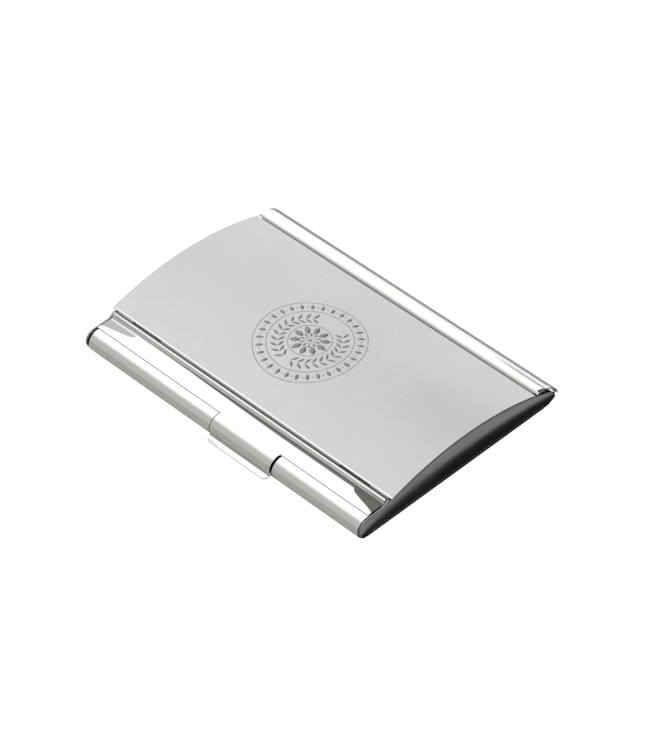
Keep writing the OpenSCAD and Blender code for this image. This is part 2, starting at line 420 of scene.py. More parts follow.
def paint(obj: Piece, *materials: bpy.types.Material) -> None:
    """Gives an object its materials, in the order of its face indices."""
    obj.data.materials.clear()
    for material in materials:
        obj.data.materials.append(material)


# ---- shader groups


class ShaderSheet:
    """A thin helper that places and links nodes in one tree."""

    def __init__(self, tree: Tree) -> None:
        """Keeps the tree."""
        self.tree = tree

    def node(self, kind: str, **values: object) -> bpy.types.Node:
        """Adds a node.

        Args:
            kind: the node's type name.
            values: its properties.

        Returns:
            The node.
        """
        made = self.tree.nodes.new(kind)
        for name, value in values.items():
            setattr(made, name, value)
        return made

    def feed(self, socket: Socket, value: object) -> None:
        """Links an output to a socket, or sets the socket's own value."""
        if isinstance(value, Socket):
            self.tree.links.new(value, socket)
        elif value is not None:
            socket.default_value = value

    def math(self, operation: str, first: object, second: object = None) -> Socket:
        """Adds a Math node and returns its output."""
        made = self.node("ShaderNodeMath", operation=operation)
        self.feed(made.inputs[0], first)
        self.feed(made.inputs[1], second)
        return made.outputs[0]

    def noise(self, vector: object, scale: float, detail: float, rough: float = 0.5) -> Socket:
        """Adds a Noise Texture and returns its factor."""
        made = self.node("ShaderNodeTexNoise")
        self.feed(made.inputs["Vector"], vector)
        self.feed(made.inputs["Scale"], scale)
        self.feed(made.inputs["Detail"], detail)
        self.feed(made.inputs["Roughness"], rough)
        return made.outputs[0]

    def stretch(self, vector: object, scale: Triple, turn: float = 0.0) -> Socket:
        """Adds a Mapping node that scales and turns a pattern, and returns its output."""
        made = self.node("ShaderNodeMapping")
        self.feed(made.inputs["Vector"], vector)
        made.inputs["Scale"].default_value = scale
        made.inputs["Rotation"].default_value = (0.0, 0.0, math.radians(turn))
        return made.outputs[0]

    def remap(
        self, value: object, low: object, high: object, to_low: object = 0.0, to_high: object = 1.0
    ) -> Socket:
        """Adds a smooth Map Range node and returns its output."""
        made = self.node("ShaderNodeMapRange", interpolation_type="SMOOTHSTEP")
        for socket, given in zip(made.inputs, (value, low, high, to_low, to_high)):
            self.feed(socket, given)
        return made.outputs[0]

    def mix(self, factor: object, first: object, second: object) -> Socket:
        """Adds a colour Mix node and returns its output."""
        made = self.node("ShaderNodeMix", data_type="RGBA")
        self.feed(made.inputs[0], factor)
        self.feed(made.inputs[6], first)
        self.feed(made.inputs[7], second)
        return made.outputs[2]

    def split(self, vector: object) -> tuple[Socket, ...]:
        """Adds a Separate XYZ node and returns its three outputs."""
        made = self.node("ShaderNodeSeparateXYZ")
        self.feed(made.inputs[0], vector)
        return tuple(made.outputs)

    def group(self, tree: Tree, inputs: dict[str, object]) -> bpy.types.Node:
        """Adds a group with its inputs fed, and returns its node."""
        made = self.node("ShaderNodeGroup", node_tree=tree)
        for name, value in inputs.items():
            self.feed(made.inputs[name], value)
        return made


def new_material(name: str) -> tuple[bpy.types.Material, ShaderSheet]:
    """Makes a material with nodes, and returns it with a sheet on its tree."""
    material = bpy.data.materials.new(name)
    material.use_nodes = True
    return material, ShaderSheet(material.node_tree)


def new_group(
    name: str, numbers: tuple[str, ...], outputs: tuple[str, ...]
) -> tuple[ShaderSheet, object, object]:
    """Makes an empty shader group with a Vector input.

    Args:
        name: the group's name.
        numbers: its number inputs.
        outputs: its number outputs.

    Returns:
        A sheet on its tree, the sockets that are given and the sockets to feed.
    """
    tree = bpy.data.node_groups.new(name, "ShaderNodeTree")
    tree.interface.new_socket("Vector", in_out="INPUT", socket_type="NodeSocketVector")
    for label in numbers:
        tree.interface.new_socket(label, in_out="INPUT", socket_type="NodeSocketFloat")
    for label in outputs:
        tree.interface.new_socket(label, in_out="OUTPUT", socket_type="NodeSocketFloat")
    given = tree.nodes.new("NodeGroupInput").outputs
    return ShaderSheet(tree), given, tree.nodes.new("NodeGroupOutput").inputs


def grain_group() -> Tree:
    """Builds the fine metal grain: a height from two scales of stretched noise."""
    sheet, given, out = new_group("metal grain", (), ("Height", "Mottle"))
    fine = sheet.noise(given["Vector"], 1.0, 3.0, 0.65)
    coarse = sheet.noise(given["Vector"], 0.13, 2.0)
    sheet.feed(out["Height"], sheet.math("ADD", fine, sheet.math("MULTIPLY", coarse, 0.35)))
    sheet.feed(out["Mottle"], sheet.remap(coarse, 0.3, 0.7))
    return sheet.tree


def hairline_group() -> Tree:
    """Builds sparse hairline scratches: a mask from stretched noise, broken up along its length."""
    sheet, given, out = new_group("hairlines", ("Amount",), ("Mask",))
    masks = []
    for turn, across in ((22.0, 900.0), (-48.0, 1300.0)):
        line = sheet.noise(sheet.stretch(given["Vector"], (18.0, across, across), turn), 1.0, 1.0)
        broken = sheet.noise(sheet.stretch(given["Vector"], (60.0, 60.0, 60.0), turn), 1.0, 2.0)
        thin = sheet.remap(line, 0.70, 0.76)
        masks.append(sheet.math("MULTIPLY", thin, sheet.remap(broken, 0.52, 0.66)))
    both = sheet.math("MAXIMUM", masks[0], masks[1])
    sheet.feed(out["Mask"], sheet.math("MULTIPLY", both, given["Amount"]))
    return sheet.tree


def smudge_group() -> Tree:
    """Builds handling smudges: soft blotches that change the roughness."""
    sheet, given, out = new_group("smudges", ("Low", "High"), ("Roughness",))
    blotch = sheet.noise(given["Vector"], 55.0, 4.0, 0.6)
    sheet.feed(out["Roughness"], sheet.remap(blotch, 0.35, 0.75, given["Low"], given["High"]))
    return sheet.tree


def painted_band_group() -> Tree:
    """Builds the mask of a painted reflection band along X: a soft band in Y that changes from left to
    right.
    """
    numbers = ("Front", "Back", "Narrowing", "Soft", "Left", "Right", "Ramp Start", "Ramp End")
    sheet, given, out = new_group("painted reflection band", numbers, ("Mask",))
    x, y, _ = sheet.split(given["Vector"])
    narrow_from, narrow_to = -30.0 * MM, 18.0 * MM
    narrow = sheet.remap(x, narrow_from, narrow_to, given["Narrowing"], 0.0)
    front = sheet.math("ADD", given["Front"], narrow)
    rise = sheet.math("DIVIDE", sheet.math("SUBTRACT", y, front), given["Soft"])
    fall = sheet.math("DIVIDE", sheet.math("SUBTRACT", given["Back"], y), given["Soft"])
    band = sheet.math("MULTIPLY", sheet.remap(rise, 0.0, 1.0), sheet.remap(fall, 0.0, 1.0))
    along = sheet.remap(x, given["Ramp Start"], given["Ramp End"], given["Left"], given["Right"])
    sheet.feed(out["Mask"], sheet.math("MULTIPLY", band, along))
    return sheet.tree


def corner_group() -> Tree:
    """Builds the shade at the ends of a strip: past a soft S-shaped line that runs in from each corner."""
    numbers = ("Front", "Back", "Limit", "Half", "Length", "Soft", "Left", "Right")
    sheet, given, out = new_group("corner shade", numbers, ("Mask",))
    x, y, _ = sheet.split(given["Vector"])
    share = sheet.remap(y, given["Front"], given["Back"])
    bowed = sheet.math(
        "MULTIPLY", sheet.math("MULTIPLY", share, share),
        sheet.math("SUBTRACT", 3.0, sheet.math("MULTIPLY", share, 2.0)),
    )
    line = sheet.math("SUBTRACT", given["Half"], sheet.math("MULTIPLY", bowed, given["Length"]))
    outward = sheet.math("SUBTRACT", sheet.math("ABSOLUTE", x, 0.0), line)
    past = sheet.math("DIVIDE", outward, given["Soft"])
    before = sheet.math("DIVIDE", sheet.math("SUBTRACT", given["Limit"], y), given["Soft"])
    mask = sheet.math("MULTIPLY", sheet.remap(past, 0.0, 1.0), sheet.remap(before, 0.0, 1.0))
    side = sheet.remap(x, -MM, MM, given["Left"], given["Right"])
    sheet.feed(out["Mask"], sheet.math("MULTIPLY", mask, side))
    return sheet.tree


@dataclass
class GroupShelf:
    """The shared shader groups, built once."""

    grain: Tree = field(default_factory=grain_group)
    hairline: Tree = field(default_factory=hairline_group)
    smudge: Tree = field(default_factory=smudge_group)
    # The mask group for the painted reflection bands.
    crease: Tree = field(default_factory=painted_band_group)
    corner: Tree = field(default_factory=corner_group)


# ---- finishes


@dataclass(frozen=True)
class PaintedBand:
    """A band of painted reflection along X: painted shade where it darkens the metal and a painted
    highlight where it lightens it, with its limits in Y (in Z where upright) and its strength at both
    ends.
    """

    front: float
    back: float
    soft: float
    left: float
    right: float
    narrowing: float = 0.0
    colour: Triple = (0.135, 0.15, 0.16)
    ramp: Pair = (-42.0, -8.0)
    upright: bool = False

    def sockets(self) -> dict[str, float]:
        """Values for the group's sockets, the lengths in metres."""
        return {
            "Front": self.front * MM, "Back": self.back * MM, "Soft": self.soft * MM,
            "Narrowing": self.narrowing * MM, "Left": self.left, "Right": self.right,
            "Ramp Start": self.ramp[0] * MM, "Ramp End": self.ramp[1] * MM,
        }


@dataclass(frozen=True)
class CornerShade:
    """A tone at the ends of a strip, past a line that runs in from each corner."""

    front: float
    back: float
    limit: float
    half: float
    length: float
    soft: float
    left: float
    right: float
    colour: Triple

    def sockets(self) -> dict[str, float]:
        """Values for the group's sockets, the lengths in metres."""
        lengths = ("front", "back", "limit", "half", "length", "soft")
        values = {name.title(): getattr(self, name) * MM for name in lengths}
        return {**values, "Left": self.left, "Right": self.right}


@dataclass(frozen=True)
class MetalFinish:
    """One finish of the steel, with its colour, gloss, grain and marks, and bands of painted reflection
    and shade.
    """

    name: str
    colour: Triple
    dull: Triple
    rough: Pair
    grain: Triple = (9000.0, 9000.0, 9000.0)
    grain_depth: float = 0.02
    scratches: float = 0.3
    painted_bands: tuple[PaintedBand, ...] = ()
    corners: tuple[CornerShade, ...] = ()
    scratch_rough: float = 0.15

    def build(self, shelf: GroupShelf) -> bpy.types.Material:
        """Builds the material.

        Args:
            shelf: the shared shader groups.

        Returns:
            The material.
        """
        material, sheet = new_material(self.name)
        shader = material.node_tree.nodes["Principled BSDF"]
        shader.inputs["Metallic"].default_value = 1.0
        place = sheet.node("ShaderNodeTexCoord").outputs["Object"]
        grain = sheet.group(shelf.grain, {"Vector": sheet.stretch(place, self.grain)})
        hairline = sheet.group(shelf.hairline, {"Vector": place, "Amount": self.scratches})
        smudge = sheet.group(shelf.smudge, {"Vector": place, "Low": self.rough[0], "High": self.rough[1]})

        colour = sheet.mix(grain.outputs["Mottle"], (*self.colour, 1.0), (*self.dull, 1.0))
        upright = None
        if any(painted_band.upright for painted_band in self.painted_bands):
            x, y, z = sheet.split(place)
            swapped = sheet.node("ShaderNodeCombineXYZ")
            for socket, source in zip(swapped.inputs, (x, z, y)):
                sheet.feed(socket, source)
            upright = swapped.outputs[0]
        # Painted bands mix painted shade and painted highlights into the colour.
        for painted_band in self.painted_bands:
            vector = upright if painted_band.upright else place
            crease = sheet.group(shelf.crease, {"Vector": vector, **painted_band.sockets()})
            colour = sheet.mix(crease.outputs["Mask"], colour, (*painted_band.colour, 1.0))
        # Corner shades mix painted shade into the colour.
        for corner in self.corners:
            shade = sheet.group(shelf.corner, {"Vector": place, **corner.sockets()})
            colour = sheet.mix(shade.outputs["Mask"], colour, (*corner.colour, 1.0))
        sheet.feed(shader.inputs["Base Color"], colour)
        scratched = sheet.math("MULTIPLY", hairline.outputs["Mask"], self.scratch_rough)
        sheet.feed(shader.inputs["Roughness"], sheet.math("ADD", smudge.outputs["Roughness"], scratched))
        bump = sheet.node("ShaderNodeBump")
        bump.inputs["Strength"].default_value = 1.0
        bump.inputs["Distance"].default_value = self.grain_depth * MM
        height = sheet.math("SUBTRACT", grain.outputs["Height"], hairline.outputs["Mask"])
        sheet.feed(bump.inputs["Height"], height)
        sheet.feed(shader.inputs["Normal"], bump.outputs["Normal"])
        return material


@dataclass
class Finishes:
    """Every finish that the case wears."""

    shelf: GroupShelf = field(default_factory=GroupShelf)

    def __post_init__(self) -> None:
        """Builds the materials."""
        mirror = (0.86, 0.86, 0.85)
        mirror_dull = (0.82, 0.82, 0.80)
        self.polished = MetalFinish(
            "polished steel", mirror, mirror_dull, (0.05, 0.09), grain_depth=0.0003, scratches=0.25
        ).build(self.shelf)
        self.polished_lid = MetalFinish(
            "polished lid steel", mirror, mirror_dull, (0.05, 0.09), grain_depth=0.0003,
            scratches=0.25,
            # Painted reflections and shade: the dark bands stand for dark reflections and shade lines in
            # the cove, in the groove by the cover, on the back strip and in the lip's crease; the grey
            # bands tone down highlights on the bead, the back strip and the lip.
            painted_bands=(
                PaintedBand(front=-25.22, back=-24.26, soft=0.16, left=0.4, right=1.0, narrowing=0.62),
                PaintedBand(
                    front=-23.9, back=-23.35, soft=0.12, left=0.28, right=0.28, colour=(0.42, 0.41, 0.39)
                ),
                PaintedBand(front=-23.32, back=-22.7, soft=0.1, left=0.8, right=0.95),
                PaintedBand(front=25.8, back=26.7, soft=0.1, left=0.85, right=0.92),
                PaintedBand(front=26.6, back=27.5, soft=0.35, left=0.3, right=0.5, colour=(0.40, 0.37, 0.34)),
                PaintedBand(front=30.1, back=30.42, soft=0.12, left=0.5, right=0.85, colour=(0.24, 0.22, 0.20)),
                PaintedBand(
                    front=28.7, back=30.1, soft=0.5, left=0.0, right=0.9, colour=(0.30, 0.33, 0.37),
                    ramp=(26.0, 38.0),
                ),
                PaintedBand(front=30.6, back=33.3, soft=0.5, left=0.55, right=0.3, colour=(0.40, 0.40, 0.39)),
                PaintedBand(
                    front=1.5, back=1.88, soft=0.15, left=0.6, right=0.72, colour=(0.20, 0.19, 0.18),
                    upright=True,
                ),
                PaintedBand(
                    front=0.9, back=1.44, soft=0.1, left=0.62, right=0.1, colour=(0.40, 0.40, 0.39),
                    ramp=(-3.0, 4.0), upright=True,
                ),
            ),
            # Painted reflections: a dark tone at the right ends and a grey tone at the left ends of the
            # front strip.
            corners=(
                CornerShade(-29.2, -24.6, -24.6, 45.7, 8.8, 0.4, 0.0, 0.95, (0.075, 0.075, 0.065)),
                CornerShade(-29.2, -24.9, -24.6, 45.7, 9.5, 0.6, 0.8, 0.0, (0.28, 0.275, 0.27)),
            ),
        ).build(self.shelf)
        self.satin = MetalFinish(
            "satin steel", (0.565, 0.565, 0.56), (0.545, 0.545, 0.54), (0.33, 0.37),
            grain=(5200.0, 7600.0, 6000.0), grain_depth=0.0035, scratches=0.5,
            # Painted highlight: a lighter band along the cover's front edge.
            painted_bands=(
                PaintedBand(front=-23.6, back=-22.3, soft=0.3, left=0.8, right=1.0, colour=(0.95, 0.95, 0.94)),
            ),
        ).build(self.shelf)
        self.cut_edge = MetalFinish(
            "bright cut edge", (0.93, 0.93, 0.92), (0.88, 0.88, 0.87), (0.14, 0.2),
            grain=(4000.0, 12000.0, 12000.0), grain_depth=0.001, scratches=0.2,
            # Painted shade: the cut edge is darkened along the cover's two ends, where it stands for the
            # shadow gap over the end plates.
            corners=(CornerShade(-41.0, -40.0, 40.0, 47.0, 0.45, 0.1, 0.8, 0.8, (0.20, 0.22, 0.24)),),
        ).build(self.shelf)
        self.dark_edge = MetalFinish(
            "dull cut edge", (0.30, 0.31, 0.32), (0.24, 0.25, 0.26), (0.3, 0.4),
            grain=(4000.0, 9000.0, 9000.0), grain_depth=0.001, scratches=0.2,
        ).build(self.shelf)
        self.brushed = MetalFinish(
            "brushed cheek steel", (0.72, 0.71, 0.70), (0.62, 0.61, 0.60), (0.16, 0.24),
            grain=(9000.0, 900.0, 9000.0), grain_depth=0.0015, scratches=0.5,
        ).build(self.shelf)
        self.pin = MetalFinish(
            "drawn pin steel", (0.62, 0.62, 0.63), (0.52, 0.52, 0.53), (0.2, 0.3),
            grain=(900.0, 9000.0, 9000.0), grain_depth=0.002, scratches=0.4,
        ).build(self.shelf)
        self.etched = MetalFinish(
            "etched mark", (0.36, 0.36, 0.36), (0.30, 0.30, 0.30), (0.5, 0.6),
            grain=(16000.0, 16000.0, 16000.0), grain_depth=0.004, scratches=0.0,
        ).build(self.shelf)


# ---- the tray


@dataclass
class Tray:
    """The channel-shaped tray: floor, rolled front edge and rear knuckles, bent from one sheet."""

    sizes: CaseSizes
    finishes: Finishes
    roll_gaps: Pair = (0.85, 0.1)
    rise_gap: float = 1.65

    def build(self) -> Piece:
        """Bends, trims and finishes the tray, and returns it."""
        s = self.sizes
        low, high = box_mm("tray")
        cheek_in = box_mm("right_end_cheek")[1].x - s.cheek_sheet
        roll_x = (-cheek_in + self.roll_gaps[0], cheek_in - self.roll_gaps[1])
        notch_turn = math.degrees(math.acos(1.0 - s.notch_z / s.curl_r))
        top = s.curl_mid + heading_vector(90.0 + s.strip_slope) * s.curl_r
        seam = top + heading_vector(s.strip_slope) * (s.curl_mid.y + s.seam_back - top.y)
        rise_z = s.hinge.z - s.knuckle_r
        rise_a = 2.0 * math.degrees(math.atan(rise_z / s.rise_len))
        rise_r = s.rise_len / (2.0 * math.sin(math.radians(rise_a)))

        bender = SheetBender(seam, 180.0 + s.strip_slope, Side.RIGHT)
        bender.straight((seam - top).length)
        bender.bend(s.curl_r, 180.0 - s.strip_slope - notch_turn, 30).bend(s.curl_r, notch_turn, 10)
        bender.reach(Vector((0.0, s.hinge.y - s.rise_len, 0.0)))
        bender.bend(rise_r, rise_a, 6).bend(rise_r, -rise_a, 6)
        bender.bend(s.knuckle_r, s.knuckle_turn, 36)
        mesh = bender.widen([low.x, high.x])

        for limits in ({"y": (-FAR, s.curl_mid.y)}, {"y": (-FAR, 0.0), "z": (s.curl_r, FAR)}):
            Window(x=(-FAR, roll_x[0]), **limits).cut(mesh)
            Window(x=(roll_x[1], FAR), **limits).cut(mesh)
        Window(
            x=(s.tab_x[0] - s.tab_gaps[0], s.tab_x[1] + s.tab_gaps[1]), y=(-FAR, 0.0), z=(s.notch_z, FAR)
        ).cut(mesh)
        Window(x=(roll_x[1], FAR), y=(s.hinge.y - s.rise_len, FAR)).cut_both(mesh)
        Window(
            x=(s.lid_knuckle_x[0] - s.knuckle_gap, s.lid_knuckle_x[1] + s.knuckle_gap),
            y=(s.hinge.y - self.rise_gap, FAR),
        ).cut_both(mesh)

        tray = make_piece("tray_sheet", mesh, Finishing(wall=s.tray_sheet, edge=0.07))
        paint(tray, self.finishes.polished)
        settle(tray, "case", "polished_steel", ("tray",))
        return tray


# ---- the cheeks


@dataclass
class Cheek:
    """A pressed end plate with a rounded rim and a foot on the floor."""

    sizes: CaseSizes
    finishes: Finishes
    end: End
    inset: float = 0.2
    nose_r: float = 0.75
    rim_rise: float = -0.1
    rear_drop: float = 1.3
    clear: float = 0.3
    foot: float = 4.0
    foot_bend_r: float = 0.9
    foot_clear: float = 0.4
    rear_in: float = 1.55
    rear_up: float = 2.57
    nose_slope: float = 40.0
    nose_turn: float = 130.0
    edge_drop: float = 0.35

    def foot_reach(self) -> Pair:
        """Front and back limits of the foot."""
        s = self.sizes
        return s.curl_mid.y, s.hinge.y - (s.rise_len + self.foot_clear)

    def bend_foot(self, outer_x: float) -> Mesh:
        """Bends the foot from the floor up into the plate.

        Args:
            outer_x: outer face of the right plate.

        Returns:
            The foot's surface, at the right end.
        """
        front, back = self.foot_reach()
        start = Vector((0.0, outer_x - self.foot, self.sizes.tray_sheet))
        bender = SheetBender(start, 0.0, Side.RIGHT)
        bender.straight(self.foot - self.foot_bend_r).bend(self.foot_bend_r, 90.0, 10)
        mesh = bender.widen([-back, -front])
        turn = Matrix.Rotation(math.radians(-90.0), 3, "Z")
        bmesh.ops.rotate(mesh, verts=mesh.verts[:], cent=(0.0, 0.0, 0.0), matrix=turn)
        return mesh

    def to_end(self, mesh: Mesh) -> Mesh:
        """Mirrors a right-hand mesh where the cheek is the left one, and returns it."""
        if self.end is End.LEFT:
            bmesh.ops.scale(mesh, vec=(-1.0, 1.0, 1.0), verts=mesh.verts[:])
            bmesh.ops.reverse_faces(mesh, faces=mesh.faces[:])
        return mesh

    def outline(self) -> Mesh:
        """Draws the D-shaped outline as one face in the YZ plane, and returns its mesh."""
        s = self.sizes
        cover_low, cover_high = s.cover
        front_r = s.curl_r - self.inset
        edge_z = cover_high.z - s.arch_rise
        arch_r = s.arch_r - s.cover_sheet - self.clear
        start = s.on_arch(arch_r, cover_low.y + self.inset)
        half_a = math.degrees(math.asin((start.y - s.arch_mid.y) / arch_r))
        floor_z = s.tray_sheet
        low_turn = math.degrees(math.asin((s.curl_r - floor_z) / front_r))

        bender = SheetBender(start, -half_a, Side.LEFT)
        bender.bend(arch_r, 2.0 * half_a, 40)
        bender.go_to(Vector((0.0, cover_high.y + s.shoulder_r, edge_z - self.rear_drop)))
        bender.go_to(Vector((0.0, s.hinge.y - self.rear_in, s.hinge.z + self.rear_up)))
        bender.go_to(s.hinge + heading_vector(self.nose_slope) * self.nose_r)
        bender.heading = self.nose_slope - 90.0
        bender.bend(self.nose_r, -self.nose_turn, 14)
        bend_z = floor_z + self.foot_bend_r
        foot_front, foot_back = self.foot_reach()
        bender.go_to(Vector((0.0, s.hinge.y - s.hinge.z + floor_z, floor_z)))
        for y, z in (
            (foot_back, floor_z), (foot_back, bend_z), (foot_front, bend_z), (foot_front, floor_z)
        ):
            bender.go_to(Vector((0.0, y, z)))
        bender.go_to(s.curl_mid + heading_vector(180.0 + low_turn) * front_r)
        bender.heading = 90.0 + low_turn
        bender.bend(front_r, -(low_turn + 90.0 - s.strip_slope), 24)
        bender.go_to(s.strip_start + Vector((0.0, 0.0, self.rim_rise)))
        bender.go_to(Vector((0.0, cover_low.y - 2 * self.inset, edge_z - self.edge_drop)))
        mesh = bender.mesh
        bmesh.ops.remove_doubles(mesh, verts=mesh.verts[:], dist=1e-4)
        mesh.verts.ensure_lookup_table()
        first = mesh.verts[0]
        mesh.edges.new((bender.tip, first))
        bmesh.ops.contextual_create(mesh, geom=mesh.edges[:])
        return mesh

    def build(self) -> Piece:
        """Presses and finishes the cheek, and returns it."""
        s = self.sizes
        outer_x = box_mm("right_end_cheek")[1].x
        mesh = self.outline()
        bmesh.ops.translate(mesh, verts=mesh.verts[:], vec=(outer_x, 0.0, 0.0))
        bmesh.ops.recalc_face_normals(mesh, faces=mesh.faces[:])
        if mesh.faces[:][0].normal.x < 0:
            bmesh.ops.reverse_faces(mesh, faces=mesh.faces[:])
        name = f"{self.end.name.lower()}_end_cheek"
        plate = make_piece(
            f"{name}_plate", self.to_end(mesh),
            Finishing(wall=s.cheek_sheet, edge=0.12, segments=3, smooth=40.0, rim=1),
        )
        foot = make_piece(
            f"{name}_foot", self.to_end(self.bend_foot(outer_x)), Finishing(wall=s.cheek_sheet, edge=0.05)
        )
        paint(plate, self.finishes.brushed, self.finishes.dark_edge)
        paint(foot, self.finishes.brushed)
        settle(plate, "case", "polished_steel", (name,))
        settle(foot, "case", "polished_steel")
        return plate


# ---- the lid


@dataclass
class Lid:
    """The lid's sheet: thumb tab, front strip, cove and bead, arched bed, back strip and knuckles."""

    sizes: CaseSizes
    finishes: Finishes
    half: float = 45.68
    corner_len: float = 9.5
    corner_tilt: float = 0.02
    corner_soft: float = 1.2
    slot_play: float = 0.15
    slot_show: float = 0.12
    rear_past: float = 0.586
    strip_steps: int = 6
    corner_steps: int = 24
    root_place: float = 25.0
    root_len: float = 1.8

    def bend_sheet(self) -> SheetBender:
        """Bends the whole line of the lid from the lip to the hem, and returns the bender."""
        s = self.sizes
        half_a = s.bed_half_a
        roll_point = s.curl_mid + heading_vector(s.tab_low) * s.curl_r
        rise_a = s.tab_low - 90.0

        crease = SheetBender(Vector((0.0, 0.0, 0.0)), s.lip_slope, Side.LEFT)
        crease.bend(s.lip_bend_r, rise_a - s.lip_slope, 8)
        crease_start = roll_point - crease.tip.co
        crease.mesh.free()
        lip_low = box_mm("lid_plate")[0]
        along = heading_vector(s.lip_slope)
        reach = (crease_start.y - lip_low.y) / along.y
        tip = crease_start - along * reach

        bender = SheetBender(tip, s.lip_slope, Side.LEFT)
        bender.straight(reach)
        bender.bend(s.lip_bend_r, rise_a - s.lip_slope, 8)
        bender.bend(s.curl_r, -(rise_a - s.strip_slope), 36)
        strip_start = s.strip_start
        bender.reach(Vector((0.0, s.seam_y, bender.tip.co.z)))
        for left in range(self.strip_steps, 0, -1):
            bender.go_to(bender.tip.co.lerp(strip_start, 1.0 / left))
        bender.heading = s.strip_slope
        bender.bend(s.cove_r, s.bead_slope - s.strip_slope, 14)
        bender.bend(s.bead_r, -(s.bead_slope + s.crest), 16)
        bender.bend(s.groove_r, s.crest + half_a, 10)
        bender.bend(s.bed_r, -2.0 * half_a, 40)
        bender.bend(s.groove_r, half_a + s.shoulder_slope, 10)
        bender.bend(s.shoulder_r, s.back_start - s.shoulder_slope, 10)
        end = Vector((0.0, s.hinge.y + s.back_end_past, s.hinge.z + s.knuckle_r + s.back_end_rise))
        chord = end - bender.tip.co
        chord_a = math.degrees(math.atan2(chord.z, chord.y))
        radius = chord.length / (2.0 * math.sin(math.radians(s.back_start - chord_a)))
        bender.bend(radius, 2.0 * (chord_a - s.back_start), 28)
        bender.bend(s.hem_r, s.hem_heading - bender.heading, 10)
        return bender

    def trim(self, mesh: Mesh) -> None:
        """Cuts the widened sheet to the lid's outline, with its slots."""
        s = self.sizes
        cover_low, cover_high = s.cover
        Window(x=(self.half, FAR), y=(-FAR, cover_high.y + self.rear_past)).cut_both(mesh)
        Window(x=(-FAR, s.tab_x[0]), y=(-FAR, s.seam_y)).cut(mesh)
        Window(x=(s.tab_x[1], FAR), y=(-FAR, s.seam_y)).cut(mesh)
        lip = box_mm("lid_plate")[0]
        round_corners(mesh, [Vector((x, lip.y, lip.z)) for x in s.tab_x], s.lip_corner_r)
        slot_x = (
            s.clinch_x - s.clinch_w / 2 - self.slot_play, s.clinch_x + s.clinch_w / 2 + self.slot_play
        )
        inner = s.clinch_inset + s.cover_sheet + self.slot_play
        outer = s.clinch_inset - self.slot_play - self.slot_show
        for y in (
            (cover_low.y + outer, cover_low.y + inner),
            (cover_high.y - inner, cover_high.y - outer),
        ):
            Window(x=slot_x, y=y).cut_both(mesh)

    def press_corners(self, mesh: Mesh) -> None:
        """Presses the strip's outer corners down, from a soft diagonal line out to the ends."""
        s = self.sizes
        seam_y = s.seam_y
        bead_y = s.cover[0].y - 2 * s.groove_r
        cove_y = bead_y - s.cove_r
        for vert in mesh.verts:
            if not seam_y < vert.co.y < bead_y:
                continue
            share = min((vert.co.y - seam_y) / (cove_y - seam_y), 1.0)
            fade = min((bead_y - vert.co.y) / (bead_y - cove_y), 1.0)
            past = abs(vert.co.x) - (self.half - self.corner_len * share)
            if past > 0:
                fall = self.corner_tilt * past * past / (past + self.corner_soft)
                vert.co.z -= fall * fade * fade * (3.0 - 2.0 * fade)

    def knuckle(self, x0: float, x1: float) -> Mesh:
        """Rolls one knuckle with its root from the back strip.

        Args:
            x0: its left end.
            x1: its right end.

        Returns:
            The knuckle's surface.
        """
        s = self.sizes
        heading = self.root_place - 90.0
        root = s.hinge + heading_vector(self.root_place) * s.knuckle_r
        bender = SheetBender(root - heading_vector(heading) * self.root_len, heading, Side.LEFT)
        bender.straight(self.root_len).bend(s.knuckle_r, -s.knuckle_turn, 36)
        return bender.widen([x0, x1])

    def build(self) -> list[Piece]:
        """Bends, trims and finishes the lid and its knuckles, and returns them."""
        s = self.sizes
        node = box_mm("lid_plate")
        steps = self.corner_steps
        near = [self.half - self.corner_len * (1.0 - i / steps) for i in range(steps)] + [self.half]
        stations = [node[0].x, *[-x for x in reversed(near)], *near, node[1].x]
        mesh = self.bend_sheet().widen(stations)
        self.trim(mesh)
        self.press_corners(mesh)
        lid = make_piece("lid_sheet", mesh, Finishing(wall=s.lid_sheet, edge=0.06, inside=1))
        paint(lid, self.finishes.polished_lid, self.finishes.polished)
        settle(lid, "lid", "lid_polished_steel", ("lid_plate",))
        made = [lid]
        x0, x1 = s.lid_knuckle_x
        for end, (a, b) in ((End.LEFT, (-x1, -x0)), (End.RIGHT, (x0, x1))):
            knuckle = make_piece(
                f"{end.name.lower()}_lid_knuckle", self.knuckle(a, b),
                Finishing(wall=s.knuckle_wall, edge=0.06),
            )
            paint(knuckle, self.finishes.polished)
            settle(knuckle, "lid", "lid_polished_steel")
            made.append(knuckle)
        return made


# ---- the cover plate


